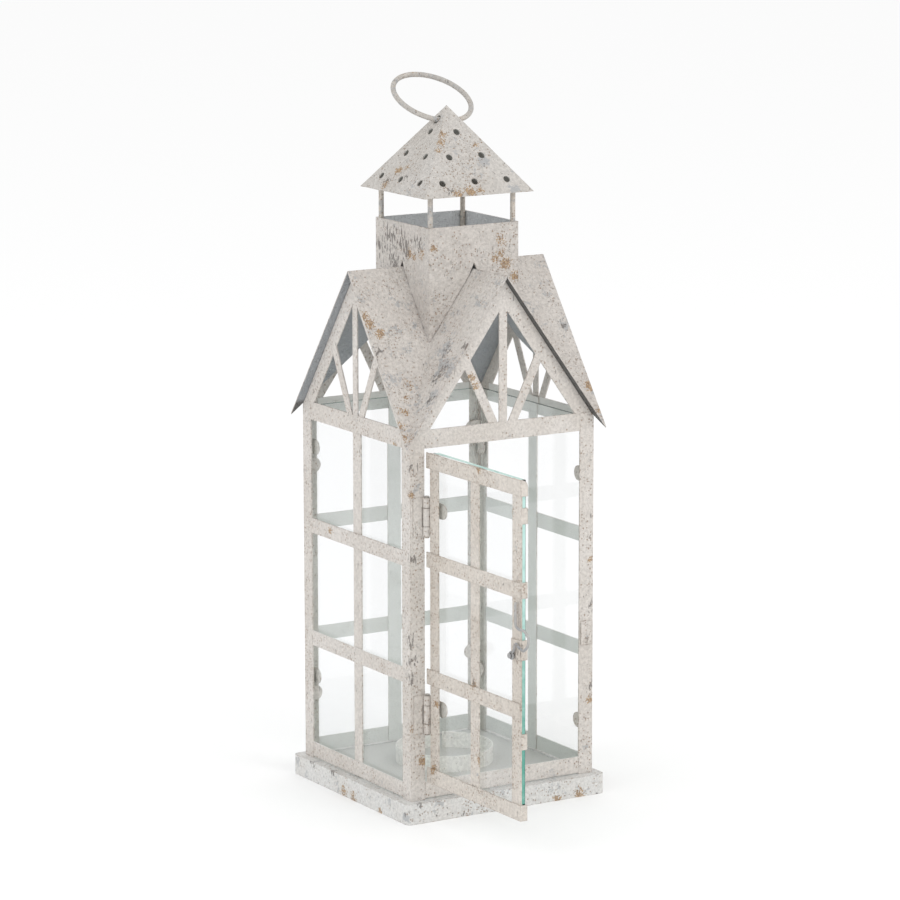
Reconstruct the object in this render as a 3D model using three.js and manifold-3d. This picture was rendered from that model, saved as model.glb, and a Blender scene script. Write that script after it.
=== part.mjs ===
// Candle lantern: a square tray, four angle posts with barred and glazed sides, a hinged front door,
// a cross-gable roof with a chimney, and a pyramid cap on four rods with a loose carry ring.
// Millimetres, +Z up. The origin is the middle of the floor plate's upper face, where the candle stands,
// and the front with the door looks along -Y.
import * as THREE from 'three';
import { mergeVertices } from 'three/addons/utils/BufferGeometryUtils.js';
import Module from 'manifold-3d';

const wasm = await Module();
wasm.setup();

// ---- driving dimensions ----
const weldGap = 0.1; // between pieces that are welded face to face in the turned door
const fitGap = 0.3; // between a piece and the slope it rests on, and round loose fits

// tray
const trayMargin = 6; // that the tray stands out past the cage
const trayDepth = 13.5;
const traySheet = 1;
const trayCornerRadius = 3;
const trayHemWidth = 5;

// cage of posts and bars
const cageSize = 138;
const wallHeight = 240.8;
const barWidth = 10;
const barThickness = 1;
const angleLeg = 10.5;
const topRailHeight = 11.8;
const bottomRailLift = 1;
const doorSillHeight = 11;

// glazing
const glassThickness = 2;
const paneInset = 3.5; // from a pane's edge to the outer face of the neighbouring side
const paneTopMargin = 4;
const tabRadius = 5;
const tabThickness = 0.8;
// the tabs on a post's leg: how far the upper one is below the wall's top, how high the lower one sits,
// and how far their round ends stay back from the leg's edge
const firstLegTabs = { drop: 30.8, rise: 55.5, setBack: 0 };
const secondLegTabs = { drop: 43.8, rise: 42.5, setBack: 4 };
const frontRightTabs = { drop: 41.8, rise: 34, setBack: 0 };

// gables and roof
const roofSheet = 0.8;
const roofPitch = 54.16; // degrees
const roofCornerDrop = 3.25; // from the top of the wall to the roof's seat on a post's corner
const gableOverhang = 5;
const eavesOverhang = 5.8;
const strutWidth = 6;
const kingPostWidth = 6;
const strutFoot = 4;
const strutTopReach = 28;
const ridgeSeam = 0.3;

// chimney and cap
const chimneySize = 67;
const chimneyRise = 28; // over the ridges
const chimneySheet = 0.8;
const notchHalfWidth = 4;
const notchRise = 3.5;
const capOverhang = 7.3;
const capLift = 19.7; // open gap between the chimney and the cap
const capRise = 54;
const capSheet = 0.8;
const capFloorLift = 0.3; // from the cap's edge to the plate that closes it below
const capHoleRadius = 2.3;
const capHoleRows = [
  { drop: 16.2, spread: [0] },
  { drop: 30.7, spread: [-12, 12] },
  { drop: 45.7, spread: [-24, 0, 24] },
];
const rodDiameter = 3.4;
const rodLap = 33; // that a rod reaches down inside the chimney

// carry ring
const ringRadius = 26.3; // to the middle of the wire
const ringWire = 3.4;
const ringPivotDrop = 9.5; // from the cap's apex
const ringHoleRadius = 2.7;
const ringSkew = 3.8; // degrees that the two ring holes are out of line with the sides
const ringTilt = 4.3; // degrees that the right hole sits lower than the left one
const ringLean = 60.6; // degrees that the ring lies back from upright

// candle ring
const candleRingRadius = 32.4;
const candleRingHeight = 11;
const candleRingSheet = 0.9;
const candleRingOffset = [3.5, 8];
const candleRingSlit = 2.4;
const candleRingSlitAngle = 64;

// door, measured as if it were shut: x runs from the hinge line to the free edge
const doorOpenAngle = 89;
const hingeLineInset = 0.2; // from the post's edge into the doorway
const hingeLineProud = 2.4; // in front of the posts
const doorHingeGap = 2.5;
const doorFreeGap = 9;
const doorSillGap = 0.4;
const doorHeadGap = 2;
const doorBarSheet = 0.8;
const doorBarHead = -0.5; // where the cross bars start, past the hinge stile
const edgeFoldSheet = 0.8;
const edgeFoldDepth = 5.1;
const topFoldRounding = 4.2; // of the top rail's fold, at its upper back corner
const freeTabDrops = [22.5, 69]; // from the door's top
const freeTabRise = 50; // over the door's foot

// hinges
const upperHingeRise = 22.5; // from the upper cross bar up to the hinge's middle
const lowerHingeDrop = 20.1; // from the lower cross bar down to the hinge's middle
const hingeTabRise = 5; // from the hinge's middle to the tab that its leaf carries
const hingeLength = 25;
const knuckleRadius = 2.3;
const knuckleBore = 1.3;
const pinRadius = 1.05;
const pinHeadRadius = 1.7;
const pinHeadHeight = 0.7;
const leafSheet = 0.8;
const leafReach = 6.7;
const knuckleLengths = [6.5, 12, 6.5];

// latch
const latchPivotInset = 7.3; // from the door's free edge
const latchPivotRise = 29.6; // over the lower cross bar
const latchPlateHeight = 12.5;
const latchPlateFoot = 2.2; // that the plate reaches below the rivet
const latchWire = 2;
const rivetRadius = 0.9;
const rivetHeadRadius = 1.7;
const rivetHeadHeight = 0.8;
const latchEyeRadius = 2.6;
const hookTipX = 4;
const hookTipHeight = 33.8;
const hookTipDepth = 0.8;
const catchAngle = 134.8; // degrees from the hook's open place down to its catch
const catchHeight = 16;
const catchFoot = 3; // that the catch reaches below its hole
const catchMargin = 0.8; // from the catch's sides to the edges of the post's leg
const catchHoleRadius = 1.7;

// ---- finishes ----
const paint = new THREE.MeshStandardMaterial({ color: 0xd7d0c8, roughness: 0.75, metalness: 0.1 });
const glass = new THREE.MeshStandardMaterial({
  color: 0xdfeeea,
  roughness: 0.05,
  metalness: 0,
  transparent: true,
  opacity: 0.25,
});
const bareWire = new THREE.MeshStandardMaterial({ color: 0xbdb6ab, roughness: 0.5, metalness: 0.5 });

// ---- geometry helpers ----
const degrees = THREE.MathUtils.degToRad;

function boxBetween(low, high) {
  const size = high.map((value, axis) => value - low[axis]);
  const centre = high.map((value, axis) => (value + low[axis]) / 2);
  return new THREE.BoxGeometry(...size).translate(...centre);
}

// A flat plate whose outline is drawn in x and z, standing upright from yFront to yBack.
function uprightPlate(outline, yFront, yBack) {
  const shape = new THREE.Shape(outline.map(([x, z]) => new THREE.Vector2(x, z)));
  const geometry = new THREE.ExtrudeGeometry(shape, { depth: yBack - yFront, bevelEnabled: false });
  return geometry.rotateX(Math.PI / 2).translate(0, yBack, 0);
}

function roundBar(radius, low, high, sides = 16) {
  const geometry = new THREE.CylinderGeometry(radius, radius, high - low, sides);
  return geometry.rotateX(Math.PI / 2).translate(0, 0, (low + high) / 2);
}

function tubeAlong(curve, diameter, steps, sides = 10) {
  const section = new THREE.Shape();
  for (let i = 0; i < sides; i += 1) {
    const angle = (2 * Math.PI * i) / sides;
    const point = [(diameter / 2) * Math.cos(angle), (diameter / 2) * Math.sin(angle)];
    if (i === 0) section.moveTo(...point);
    else section.lineTo(...point);
  }
  return new THREE.ExtrudeGeometry(section, { steps, extrudePath: curve, bevelEnabled: false });
}

function toSolid(geometry) {
  const bare = geometry.clone();
  bare.deleteAttribute('normal');
  bare.deleteAttribute('uv');
  const merged = mergeVertices(bare, 1e-4);
  return new wasm.Manifold(
    new wasm.Mesh({
      numProp: 3,
      vertProperties: new Float32Array(merged.attributes.position.array),
      triVerts: new Uint32Array(merged.index.array),
    }),
  );
}

function toGeometry(solid) {
  const { vertProperties, triVerts } = solid.getMesh();
  const geometry = new THREE.BufferGeometry();
  geometry.setAttribute('position', new THREE.BufferAttribute(new Float32Array(vertProperties), 3));
  geometry.setIndex(new THREE.BufferAttribute(new Uint32Array(triVerts), 1));
  geometry.computeVertexNormals();
  return geometry;
}

function join(first, ...others) {
  return toGeometry(others.reduce((solid, other) => solid.add(toSolid(other)), toSolid(first)));
}

function cut(first, ...tools) {
  return toGeometry(tools.reduce((solid, tool) => solid.subtract(toSolid(tool)), toSolid(first)));
}

function named(name, geometry, material = paint) {
  const mesh = new THREE.Mesh(geometry, material);
  mesh.name = name;
  return mesh;
}

// ---- sizes that follow from the driving ones ----
const cageHalf = cageSize / 2;
const trayHalf = cageHalf + trayMargin;
const legEdge = cageHalf - angleLeg; // where an angle's leg ends and the bars begin
const barBack = -cageHalf + barThickness; // inner face of the outer layer of bars
const topRailBottom = wallHeight - topRailHeight;
const bottomRailTop = bottomRailLift + barWidth;
const lightHeight = (topRailBottom - bottomRailTop - 2 * barWidth) / 3;
const barHeights = [bottomRailTop + lightHeight, bottomRailTop + 2 * lightHeight + barWidth];
const roofSlope = Math.tan(degrees(roofPitch));
const slopeFactor = Math.hypot(1, roofSlope); // upright thickness of a sloping sheet per unit
const rafterApex = wallHeight - roofCornerDrop + roofSlope * cageHalf;
const ridgeHeight = rafterApex + (roofSheet + fitGap) * slopeFactor;
const ridgeReach = cageHalf + gableOverhang;
const eavesReach = cageHalf + eavesOverhang;
const chimneyHalf = chimneySize / 2;
const chimneyTop = ridgeHeight + chimneyRise;
const capHalf = chimneyHalf + capOverhang;
const capBottom = chimneyTop + capLift;
const capApex = capBottom + capRise;
const capSlope = capRise / capHalf;
const capUprightSheet = capSheet * Math.hypot(1, capSlope);
const capFloorBottom = capBottom + capFloorLift;
const ringPivotHeight = capApex - ringPivotDrop;
const ringPivotReach = ringPivotDrop / capSlope; // where the wire crosses the cap's sheet
const glassFront = barBack + barThickness + weldGap; // a fixed pane lies against the upright bar
const glassBack = glassFront + glassThickness;
const paneHalf = cageHalf - paneInset - glassThickness;
const paneTop = wallHeight - paneTopMargin;
const hingeLineX = -legEdge + hingeLineInset;
const hingeLineY = -cageHalf - hingeLineProud;
const doorReach = legEdge - doorFreeGap - hingeLineX;
const doorBottom = bottomRailLift + doorSillHeight + doorSillGap;
const doorTop = topRailBottom - doorHeadGap;
const hingeMiddles = {
  upper: barHeights[1] + barWidth + upperHingeRise,
  lower: barHeights[0] - lowerHingeDrop,
};
const freeTabHeights = [...freeTabDrops.map((drop) => doorTop - drop), doorBottom + freeTabRise];
const latchPivotX = doorReach - latchPivotInset;
const latchPivotHeight = barHeights[0] + barWidth + latchPivotRise;

// ---- tray ----
// A plate turned down at its sides and in again below. The candle's seat is a face of its own.
function makeTray() {
  const outline = roundedSquare(trayHalf, trayCornerRadius);
  const inner = roundedSquare(trayHalf - traySheet, trayCornerRadius - traySheet);
  const hemOpening = roundedSquare(trayHalf - trayHemWidth, trayCornerRadius);
  const block = new THREE.ExtrudeGeometry(outline, { depth: trayDepth, bevelEnabled: false });
  const hollow = new THREE.ExtrudeGeometry(inner, {
    depth: trayDepth - 2 * traySheet,
    bevelEnabled: false,
  });
  const mouth = new THREE.ExtrudeGeometry(hemOpening, { depth: 2 * traySheet, bevelEnabled: false });
  const seatHalf = (candleRingRadius - candleRingSheet - fitGap) / Math.SQRT2;
  const [seatX, seatY] = candleRingOffset;
  const seat = boxBetween(
    [seatX - seatHalf, seatY - seatHalf, -traySheet],
    [seatX + seatHalf, seatY + seatHalf, 0],
  );
  const folded = cut(
    block.translate(0, 0, -trayDepth),
    hollow.translate(0, 0, traySheet - trayDepth),
    mouth.translate(0, 0, -trayDepth - traySheet / 2),
    seat,
  );
  return join(folded, seat);
}

function roundedSquare(half, radius) {
  const points = [];
  const flat = half - radius;
  const steps = 6;
  for (let quarter = 0; quarter < 4; quarter += 1) {
    const sideX = quarter === 0 || quarter === 3 ? 1 : -1;
    const sideY = quarter < 2 ? 1 : -1;
    for (let i = 0; i <= steps; i += 1) {
      const angle = ((quarter + i / steps) * Math.PI) / 2;
      points.push(
        new THREE.Vector2(
          sideX * flat + radius * Math.cos(angle),
          sideY * flat + radius * Math.sin(angle),
        ),
      );
    }
  }
  return new THREE.Shape(points);
}

// ---- corner posts ----
// The front-left post: two legs that meet at the corner, each trimmed under the roof's slope.
function makePostLeg() {
  const slopeStart = (rafterApex - wallHeight) / roofSlope;
  const outline = [
    [-cageHalf, 0],
    [-legEdge, 0],
    [-legEdge, wallHeight],
    [-slopeStart, wallHeight],
    [-cageHalf, wallHeight - roofCornerDrop],
  ];
  return uprightPlate(outline, -cageHalf, barBack);
}

// A tab that keeps a pane in: a strap beside the pane's edge, then a plate behind the glass that ends
// half-round. It starts at x = edge, ends round at x = roundAt, and runs from yFront to behind yGlass.
function makeTab(edge, roundAt, yFront, yGlass, height) {
  const side = Math.sign(roundAt - edge);
  const yTab = yGlass + weldGap;
  const low = height - tabRadius;
  const high = height + tabRadius;
  const strapEnd = edge + side * tabThickness;
  const strap = boxBetween(
    [Math.min(edge, strapEnd), yFront, low],
    [Math.max(edge, strapEnd), yTab + tabThickness, high],
  );
  const plate = boxBetween(
    [Math.min(edge, roundAt), yTab, low],
    [Math.max(edge, roundAt), yTab + tabThickness, high],
  );
  const roundEnd = roundBar(tabRadius, 0, tabThickness, 24).rotateX(Math.PI / 2);
  return [strap, plate, roundEnd.translate(roundAt, yTab + tabThickness, height)];
}

function makePostTab(height, setBack) {
  const edge = -paneHalf - weldGap - tabThickness;
  return makeTab(edge, -legEdge - setBack, barBack - barThickness / 2, glassBack, height);
}

function mirrorAcrossCorner(geometry) {
  const swap = new THREE.Matrix4().set(0, 1, 0, 0, 1, 0, 0, 0, 0, 0, 1, 0, 0, 0, 0, 1);
  const mirrored = geometry.clone().applyMatrix4(swap);
  const source = mirrored.index ? mirrored : mergeVertices(mirrored);
  const order = Array.from(source.index.array);
  for (let i = 0; i < order.length; i += 3) [order[i], order[i + 1]] = [order[i + 1], order[i]];
  source.setIndex(order);
  return source;
}

function makeLegTabs(tabs) {
  if (!tabs) return [];
  return [wallHeight - tabs.drop, tabs.rise].flatMap((height) => makePostTab(height, tabs.setBack));
}

function makePost(firstTabs, secondTabs) {
  const leg = makePostLeg();
  const secondLeg = [leg, ...makeLegTabs(secondTabs)].map(mirrorAcrossCorner);
  return join(leg, ...makeLegTabs(firstTabs), ...secondLeg);
}

// ---- one side of the cage, drawn as the front: the outer face looks along -Y ----
function makeCrossBar(bottom, height) {
  return boxBetween([-legEdge, -cageHalf, bottom], [legEdge, barBack, bottom + height]);
}

function makeUprightBar() {
  return boxBetween(
    [-barWidth / 2, barBack, bottomRailLift],
    [barWidth / 2, barBack + barThickness, wallHeight],
  );
}

function makePane() {
  return boxBetween([-paneHalf, glassFront, 0], [paneHalf, glassBack, paneTop]);
}

// A welded triangle over the top rail: two rafters, a king post and two struts that fan out.
function makeGable() {
  const foot = wallHeight;
  const outerFoot = (rafterApex - foot) / roofSlope;
  const innerDrop = barWidth * slopeFactor;
  const innerApex = rafterApex - innerDrop;
  const innerFoot = (innerApex - foot) / roofSlope;
  const rafters = uprightPlate(
    [
      [-outerFoot, foot],
      [-innerFoot, foot],
      [0, innerApex],
      [innerFoot, foot],
      [outerFoot, foot],
      [0, rafterApex],
    ],
    -cageHalf,
    barBack,
  );
  const king = boxBetween(
    [-kingPostWidth / 2, -cageHalf, foot],
    [kingPostWidth / 2, barBack, innerApex + innerDrop / 2],
  );
  const strutTop = innerApex - roofSlope * strutTopReach + innerDrop / 3;
  const strutTilt = Math.atan2(strutTop - foot, strutTopReach - strutFoot);
  const footWidth = strutWidth / Math.sin(strutTilt);
  const struts = [-1, 1].map((side) => {
    const outline = [
      [side * (strutFoot + footWidth), foot],
      [side * strutFoot, foot],
      [side * (strutTopReach - footWidth / 2), strutTop],
      [side * (strutTopReach + footWidth / 2), strutTop],
    ];
    return uprightPlate(outline, -cageHalf, barBack);
  });
  return join(rafters, king, ...struts);
}

// ---- roof: one sheet for each corner, folded along its valley ----
function makeRoofCorner() {
  const inner = chimneyHalf - chimneySheet;
  const seam = ridgeSeam / 2;
  // outlines in plan of the half that falls towards the side, seen as the front-left corner
  const frontHalf = [
    [-seam, -inner],
    [-inner, -inner],
    [-eavesReach, -eavesReach],
    [-seam, -ridgeReach],
  ];
  const upright = roofSheet * slopeFactor;
  const top = (x, y) => ridgeHeight - roofSlope * Math.min(-x, -y);
  const leftHalf = frontHalf.map(([x, y]) => [y, x]);
  // the outline of the whole sheet, with the valley from its second to its fifth point
  const loop = [frontHalf[0], frontHalf[1], leftHalf[0], leftHalf[3], frontHalf[2], frontHalf[3]];
  const corners = loop.map(([x, y]) => [x, y, top(x, y)]);
  const positions = [];
  const face = (...ids) => ids.forEach((id) => positions.push(...id));
  const under = ([x, y, z]) => [x, y, z - upright];
  // both halves as triangles, counter-clockwise as seen from above
  const halves = [
    [0, 1, 4],
    [0, 4, 5],
    [1, 2, 3],
    [1, 3, 4],
  ];
  halves.forEach(([a, b, c]) => {
    face(corners[a], corners[b], corners[c]);
    face(under(corners[a]), under(corners[c]), under(corners[b]));
  });
  corners.forEach((corner, i) => {
    const next = corners[(i + 1) % corners.length];
    face(corner, under(corner), next);
    face(next, under(corner), under(next));
  });
  const geometry = new THREE.BufferGeometry();
  geometry.setAttribute('position', new THREE.Float32BufferAttribute(positions, 3));
  geometry.computeVertexNormals();
  return geometry;
}

// ---- chimney: four walls that straddle the ridges, with a small notch over each ridge ----
function makeChimney() {
  const seat = (x) => ridgeHeight - roofSlope * x + fitGap * slopeFactor;
  const inner = chimneyHalf - chimneySheet;
  const outline = [
    [-chimneyHalf, chimneyTop],
    [-chimneyHalf, seat(inner)],
    [-inner, seat(inner)],
    [-notchHalfWidth, seat(notchHalfWidth)],
    [0, ridgeHeight + notchRise],
    [notchHalfWidth, seat(notchHalfWidth)],
    [inner, seat(inner)],
    [chimneyHalf, seat(inner)],
    [chimneyHalf, chimneyTop],
  ];
  const wall = uprightPlate(outline, -chimneyHalf, -chimneyHalf + chimneySheet);
  const turned = [1, 2, 3].map((turn) => wall.clone().rotateZ((turn * Math.PI) / 2));
  return join(wall, ...turned);
}

function makeRod() {
  const reach = chimneyHalf - chimneySheet - rodDiameter / 2 - weldGap;
  const top = capFloorBottom - weldGap;
  return roundBar(rodDiameter / 2, chimneyTop - rodLap, top, 12).translate(-reach, -reach, 0);
}

// ---- cap: a hollow pyramid with rows of punched holes, and a hole on two sides for the ring ----
function pyramid(half, bottom, apex) {
  const height = apex - bottom;
  const cone = new THREE.ConeGeometry(half * Math.SQRT2, height, 4, 1);
  return cone
    .rotateX(Math.PI / 2)
    .rotateZ(Math.PI / 4)
    .translate(0, 0, (apex + bottom) / 2);
}

function makeCap() {
  const under = capApex - capUprightSheet;
  const drop = 1;
  const hollow = pyramid((under - capBottom + drop) / capSlope, capBottom - drop, under);
  const punch = 3 * capSheet;
  const holes = [0, 1, 2, 3].flatMap((side) =>
    capHoleRows.flatMap(({ drop: fromApex, spread }) =>
      spread.map((offset) => {
        const hole = new THREE.CylinderGeometry(capHoleRadius, capHoleRadius, 2 * punch, 16);
        hole.rotateX(-Math.atan2(1, capSlope));
        hole.translate(offset, -fromApex / capSlope, capApex - fromApex);
        return hole.rotateZ((side * Math.PI) / 2);
      }),
    ),
  );
  const ringHoles = roundBar(ringHoleRadius, -2 * ringPivotReach, 2 * ringPivotReach, 20);
  ringHoles.rotateY(Math.PI / 2 + degrees(ringTilt)).rotateZ(-degrees(ringSkew));
  ringHoles.translate(0, 0, ringPivotHeight);
  return cut(pyramid(capHalf, capBottom, capApex), hollow, ...holes, ringHoles);
}

// The plate that the rods hold and that closes the cap below.
function makeCapFloor() {
  const top = capFloorBottom + capSheet;
  const half = (capApex - capUprightSheet - top) / capSlope - weldGap;
  return boxBetween([-half, -half, capFloorBottom], [half, half, top]);
}

// ---- carry ring: one round of wire through the cap, drawn upright in x and z from its pivot ----
function makeCarryRing() {
  const rise = Math.sqrt(ringRadius ** 2 - ringPivotReach ** 2);
  const ring = new THREE.TorusGeometry(ringRadius, ringWire / 2, 12, 60);
  return ring.rotateX(Math.PI / 2).translate(0, 0, rise);
}

// ---- candle ring: a strip bent round on the floor plate, open at one slit ----
function makeCandleRing() {
  const outer = roundBar(candleRingRadius, 0, candleRingHeight, 64);
  const inner = roundBar(candleRingRadius - candleRingSheet, -1, candleRingHeight + 1, 64);
  const slit = boxBetween(
    [0, -candleRingSlit / 2, -1],
    [candleRingRadius + 1, candleRingSlit / 2, candleRingHeight + 1],
  );
  slit.rotateZ(degrees(candleRingSlitAngle));
  return cut(outer, inner, slit);
}

// ---- door: everything is drawn shut, with x counted from the hinge line and y from it backwards ----
const stileFront = 0.8; // the stiles' outer face lies this far behind the hinge line
const stileBack = stileFront + doorBarSheet;
const crossBack = stileFront - weldGap;
const crossFront = crossBack - doorBarSheet;
const leafFront = stileBack + weldGap;
const doorGlassFront = leafFront + leafSheet + weldGap;
const doorGlassBack = doorGlassFront + glassThickness;

function makeDoorUpright(left) {
  return boxBetween([left, stileFront, doorBottom], [left + barWidth, stileBack, doorTop]);
}

function makeFreeStile() {
  const left = doorReach - barWidth;
  const tabs = freeTabHeights.flatMap((height) =>
    makeTab(doorReach, left, stileFront + weldGap, doorGlassBack, height),
  );
  return join(makeDoorUpright(left), ...tabs);
}

function makeDoorCrossBar(bottom) {
  return boxBetween([doorBarHead, crossFront, bottom], [doorReach, crossBack, bottom + barWidth]);
}

// The door's top and bottom rails are folded back round the glass at the free edge.
function makeDoorRail(bottom, rounding = 0) {
  return join(makeDoorCrossBar(bottom), ...makeEdgeFold(bottom, bottom + barWidth, rounding));
}

// Drawn in y and z; the upper corner at the back can be rounded.
function makeEdgeFold(low, high, rounding = 0) {
  const foldFront = doorReach + weldGap;
  const foldBack = foldFront + edgeFoldSheet;
  const end = crossFront + edgeFoldDepth;
  const steps = 6;
  const corner = Array.from({ length: rounding > 0 ? steps + 1 : 1 }, (unused, i) => {
    const angle = (i / steps) * (Math.PI / 2);
    return [
      end - rounding * (1 - Math.cos(angle)),
      high - rounding * (1 - Math.sin(angle)),
    ];
  });
  const outline = [[crossFront, low], [end, low], ...corner, [crossFront, high]];
  const fold = uprightPlate(outline, -foldBack, -foldFront).rotateZ(Math.PI / 2);
  const bridge = boxBetween([doorReach - edgeFoldSheet, crossFront, low], [foldBack, crossBack, high]);
  return [bridge, fold];
}

function makeDoorGlass() {
  const tabEdge = tabThickness + weldGap;
  return boxBetween(
    [doorHingeGap + tabEdge, doorGlassFront, doorBottom + weldGap],
    [doorReach - tabEdge, doorGlassBack, doorTop - weldGap],
  );
}

// ---- hinges, about the hinge line at x = 0, y = 0 ----
function knuckleSpans() {
  const [lower, middle] = knuckleLengths;
  return [
    [0, lower - fitGap / 2],
    [lower + fitGap / 2, lower + middle - fitGap / 2],
    [lower + middle + fitGap / 2, hingeLength],
  ];
}

function makeKnuckle(span) {
  return roundBar(knuckleRadius, span[0], span[1], 20);
}

function makeLeaf(side, spans, otherSpans, front, extras = []) {
  const reach = knuckleRadius + leafReach;
  const [near, far] = side > 0 ? [0, reach] : [-reach, 0];
  const plate = boxBetween([near, front, 0], [far, front + leafSheet, hingeLength]);
  const clearance = knuckleRadius + fitGap;
  const notches = otherSpans.map(([low, high]) =>
    boxBetween(
      [-clearance, -clearance, low - fitGap],
      [clearance, front + 2 * leafSheet, high + fitGap],
    ),
  );
  const knuckles = spans.map(makeKnuckle);
  const body = join(plate, ...knuckles, ...extras);
  const bore = roundBar(knuckleBore, -1, hingeLength + 1, 20);
  return cut(body, bore, ...notches);
}

// The door's leaf lies between the stile and the glass, and carries the tab that keeps the glass in.
function makeDoorLeaf(spans) {
  const tabHeight = hingeLength / 2 + hingeTabRise;
  const tab = makeTab(doorHingeGap, doorHingeGap + barWidth, leafFront, doorGlassBack, tabHeight);
  return makeLeaf(1, [spans[1]], [spans[0], spans[2]], leafFront, tab);
}

function makeHingePin() {
  const shank = roundBar(pinRadius, -pinHeadHeight / 2, hingeLength + pinHeadHeight / 2, 16);
  const lowerHead = roundBar(pinHeadRadius, -pinHeadHeight - fitGap, -fitGap, 16);
  const upperHead = roundBar(pinHeadRadius, hingeLength + fitGap, hingeLength + fitGap + pinHeadHeight, 16);
  return join(shank, lowerHead, upperHead);
}

// ---- latch ----
const latchFront = crossFront; // the plate lies over the stile, level with the cross bars
const latchWireY = latchFront - weldGap - fitGap - latchWire / 2;

function makeLatchPlate() {
  const low = latchPivotHeight - latchPlateFoot;
  const high = low + latchPlateHeight;
  const face = boxBetween([doorReach - barWidth, crossFront, low], [doorReach, crossBack, high]);
  return join(face, ...makeEdgeFold(low, high));
}

// The rivet stands on the plate; its head keeps the hook's eye on the shank.
function makeLatchRivet() {
  const foot = latchFront - weldGap;
  const headBase = foot - (latchWireY - latchWire / 2) + fitGap;
  const shank = roundBar(rivetRadius, 0, headBase + rivetHeadHeight / 2, 16);
  const head = roundBar(rivetHeadRadius, headBase, headBase + rivetHeadHeight, 16);
  const rivet = join(shank, head);
  return rivet.rotateX(Math.PI / 2).translate(latchPivotX, foot, latchPivotHeight);
}

// The hook stands up from its eye, bulges out as a thumb loop, and ends in a tip bent towards the post.
function makeLatchHook() {
  const point = (x, z, y = 0) => new THREE.Vector3(x, y, z);
  const route = new THREE.CatmullRomCurve3(
    [
      point(1.2, 1.6),
      point(3.4, 5),
      point(5, 8.2),
      point(8.5, 6.4),
      point(13.5, 5.4),
      point(18.2, 9.5),
      point(18.6, 14.5),
      point(14, 18),
      point(8.5, 18),
      point(5, 19.6),
      point(4.4, 25),
      point(4.2, hookTipHeight - 3.4),
      point(hookTipX, hookTipHeight - 1, hookTipDepth / 4),
      point(hookTipX, hookTipHeight, hookTipDepth),
    ],
    false,
    'centripetal',
  );
  const wire = tubeAlong(route, latchWire, 72, 8);
  const eye = roundBar(latchEyeRadius, -latchWire / 2, latchWire / 2, 18).rotateX(Math.PI / 2);
  const bore = roundBar(rivetRadius + fitGap, -2 * latchWire, 2 * latchWire, 18).rotateX(Math.PI / 2);
  return cut(join(wire, eye), bore);
}

// The catch is a small plate on the front-right post, with the hole that the hook's tip drops over.
function makeLatchCatch() {
  const tipAngle = Math.atan2(hookTipX, hookTipHeight) + degrees(catchAngle);
  const tipRadius = Math.hypot(hookTipX, hookTipHeight);
  const reach = hingeLineX + latchPivotX + tipRadius * Math.sin(tipAngle);
  const height = latchPivotHeight + tipRadius * Math.cos(tipAngle);
  const foot = height - catchFoot;
  const plate = boxBetween(
    [legEdge + catchMargin, -cageHalf - leafSheet, foot],
    [cageHalf - catchMargin, -cageHalf, foot + catchHeight],
  );
  const hole = roundBar(catchHoleRadius, -2 * leafSheet, 2 * leafSheet, 16);
  hole.rotateX(Math.PI / 2).translate(reach, -cageHalf - leafSheet / 2, height);
  return cut(plate, hole);
}

// ---- assembly ----
const lantern = new THREE.Group();
lantern.add(named('base_tray', makeTray()));

const corners = [
  { name: 'front_left', turn: 0, secondTabs: secondLegTabs },
  { name: 'front_right', turn: 1, firstTabs: frontRightTabs },
  { name: 'back_right', turn: 2, firstTabs: firstLegTabs, secondTabs: secondLegTabs },
  { name: 'back_left', turn: 3, firstTabs: firstLegTabs, secondTabs: secondLegTabs },
];
corners.forEach(({ name, turn, firstTabs, secondTabs }) => {
  const corner = new THREE.Group();
  corner.rotation.z = (turn * Math.PI) / 2;
  corner.add(named(`corner_post_${name}`, makePost(firstTabs, secondTabs)));
  corner.add(named(`roof_sheet_${name}`, makeRoofCorner()));
  corner.add(named(`cap_rod_${name}`, makeRod()));
  lantern.add(corner);
});

const sides = [
  { name: 'front', turn: 0 },
  { name: 'right', turn: 1 },
  { name: 'back', turn: 2 },
  { name: 'left', turn: 3 },
];
sides.forEach(({ name, turn }) => {
  const side = new THREE.Group();
  side.rotation.z = (turn * Math.PI) / 2;
  const sillHeight = name === 'front' ? doorSillHeight : barWidth;
  side.add(named(`bottom_rail_${name}`, makeCrossBar(bottomRailLift, sillHeight)));
  side.add(named(`top_rail_${name}`, makeCrossBar(topRailBottom, topRailHeight)));
  side.add(named(`gable_frame_${name}`, makeGable()));
  if (name !== 'front') {
    side.add(named(`lower_cross_bar_${name}`, makeCrossBar(barHeights[0], barWidth)));
    side.add(named(`upper_cross_bar_${name}`, makeCrossBar(barHeights[1], barWidth)));
    side.add(named(`upright_bar_${name}`, makeUprightBar()));
    side.add(named(`glass_pane_${name}`, makePane(), glass));
  }
  lantern.add(side);
});

lantern.add(named('chimney', makeChimney()));
lantern.add(named('chimney_cap', makeCap()));
lantern.add(named('cap_floor_plate', makeCapFloor()));

const ringPivot = new THREE.Group();
ringPivot.position.z = ringPivotHeight;
ringPivot.rotation.set(0, degrees(ringTilt), -degrees(ringSkew), 'ZYX');
const carryRing = named('carry_ring', makeCarryRing());
carryRing.rotation.x = -degrees(ringLean);
ringPivot.add(carryRing);
lantern.add(ringPivot);

const candleRing = named('candle_ring', makeCandleRing());
candleRing.position.set(...candleRingOffset, 0);
lantern.add(candleRing);

const hingeLine = new THREE.Group();
hingeLine.position.set(hingeLineX, hingeLineY, 0);
lantern.add(hingeLine);
const door = new THREE.Group();
door.rotation.z = -degrees(doorOpenAngle);
hingeLine.add(door);

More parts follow.
